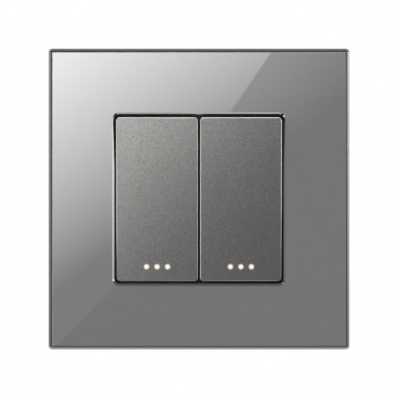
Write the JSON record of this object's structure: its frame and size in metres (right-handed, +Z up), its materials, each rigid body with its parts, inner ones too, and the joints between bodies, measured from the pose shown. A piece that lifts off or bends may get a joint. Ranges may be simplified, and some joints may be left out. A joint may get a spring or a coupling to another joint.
{
  "type": "light switch",
  "caption": "Flush-mounted double two-way rocker light switch with a square grey glass front and small light dots.",
  "frame": {"origin": "the middle between the wall screws, on the wall plane where the back of the bridge lies", "axes": "+X to the right, +Z up, the front looks along -Y and the housing goes into the wall along +Y"},
  "size_m": [0.086, 0.0357, 0.086],
  "materials": {
    "grey_glass": "polished, painted grey on the back",
    "graphite_plastic": "fine moulded texture",
    "zinc_steel": "zinc plated",
    "zinc_screw": "zinc plated",
    "white_plastic": "moulded",
    "black_plastic": "moulded",
    "satin_grey_cap": "satin metallic lacquer",
    "lit_light_guide": "clear, lit from behind",
    "spring_steel": "drawn wire",
    "copper": "rolled copper",
    "silver": "silver contact",
    "brass": "stamped brass",
    "green_board": "printed board",
    "led": "LED body"
  },
  "bodies": {
    "base": {"glass_panel": "grey_glass", "panel_carrier": "graphite_plastic", "mounting_bridge": "zinc_steel", "housing": "white_plastic", "front_deck": "black_plastic", "deck_screws": "zinc_screw", "left_fixed_contacts": "silver", "left_upper_strip": "brass", "left_lower_strip": "brass", "left_common_strip": "brass", "left_clamp_cages": "zinc_steel", "left_terminal_screws": "zinc_screw", "left_indicator_board": "green_board", "left_indicator_leds": "led", "left_indicator_leads": "spring_steel", "right_fixed_contacts": "silver", "right_upper_strip": "brass", "right_lower_strip": "brass", "right_common_strip": "brass", "right_clamp_cages": "zinc_steel", "right_terminal_screws": "zinc_screw", "right_indicator_board": "green_board", "right_indicator_leds": "led", "right_indicator_leads": "spring_steel"},
    "left_rocker": {"left_rocker_cap": "satin_grey_cap", "left_light_guide": "lit_light_guide", "left_rocker_yoke": "black_plastic", "left_plunger_spring": "spring_steel"},
    "left_plunger": {"left_plunger": "white_plastic"},
    "left_arm": {"left_contact_arm": "copper", "left_moving_contacts": "silver"},
    "right_rocker": {"right_rocker_cap": "satin_grey_cap", "right_light_guide": "lit_light_guide", "right_rocker_yoke": "black_plastic", "right_plunger_spring": "spring_steel"},
    "right_plunger": {"right_plunger": "white_plastic"},
    "right_arm": {"right_contact_arm": "copper", "right_moving_contacts": "silver"}
  },
  "joints": [
    {"name": "left_rocker_tilt", "type": "hinge", "parent": "base", "child": "left_rocker", "pos_m": [-0.01035, -0.005, 0], "axis": [1, 0, 0], "range_deg": [-6, 0]},
    {"name": "left_arm_rock", "type": "hinge", "parent": "base", "child": "left_arm", "pos_m": [-0.01035, 0.0105, 0], "axis": [1, 0, 0], "range_deg": [0, 12]},
    {"name": "left_plunger_slide", "type": "slide", "parent": "left_rocker", "child": "left_plunger", "axis": [0, -0.9986, -0.0523], "range_m": [0, 0.0006], "stiffness_N_per_m": 400, "deforming": ["left_plunger_spring"]},
    {"name": "right_rocker_tilt", "type": "hinge", "parent": "base", "child": "right_rocker", "pos_m": [0.01035, -0.005, 0], "axis": [1, 0, 0], "range_deg": [-6, 0]},
    {"name": "right_arm_rock", "type": "hinge", "parent": "base", "child": "right_arm", "pos_m": [0.01035, 0.0105, 0], "axis": [1, 0, 0], "range_deg": [0, 12]},
    {"name": "right_plunger_slide", "type": "slide", "parent": "right_rocker", "child": "right_plunger", "axis": [0, -0.9986, -0.0523], "range_m": [0, 0.0006], "stiffness_N_per_m": 400, "deforming": ["right_plunger_spring"]}
  ],
  "couplings": [
    {"joint": "left_arm_rock", "follows": "left_rocker_tilt", "ratio": -2},
    {"joint": "right_arm_rock", "follows": "right_rocker_tilt", "ratio": -2}
  ]
}
